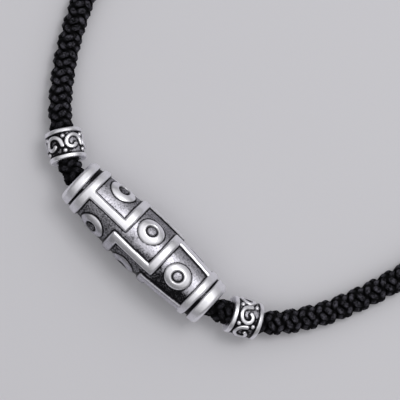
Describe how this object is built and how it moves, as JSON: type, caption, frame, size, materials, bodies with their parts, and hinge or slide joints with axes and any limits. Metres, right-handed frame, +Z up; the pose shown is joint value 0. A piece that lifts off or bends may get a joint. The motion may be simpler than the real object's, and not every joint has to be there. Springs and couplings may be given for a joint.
{
  "type": "dzi bead necklace",
  "caption": "Silver dzi barrel bead with raised eyes and stepped lines between scrolled spacer beads on a round black braid loop with a barrel clasp.",
  "frame": {"origin": "centre of the necklace's bounding box, on the surface that it lies on", "axes": "+Z up from the surface, +X along the axis of the dzi bead, +Y from the dzi bead to the clasp, along the length of the loop"},
  "size_m": [0.1166, 0.1971, 0.013],
  "materials": {
    "antiqued_silver": "satin silver, rubbed bright on the raised work and darkened in the recesses",
    "black_braid": "black waxed polyester strands, braided round",
    "clasp_silver": "satin silver, plain"
  },
  "bodies": {
    "root": {"dzi_bead": "antiqued_silver", "spacer_bead_left": "antiqued_silver", "spacer_bead_right": "antiqued_silver", "braid": "black_braid", "clasp": "clasp_silver"}
  },
  "joints": []
}
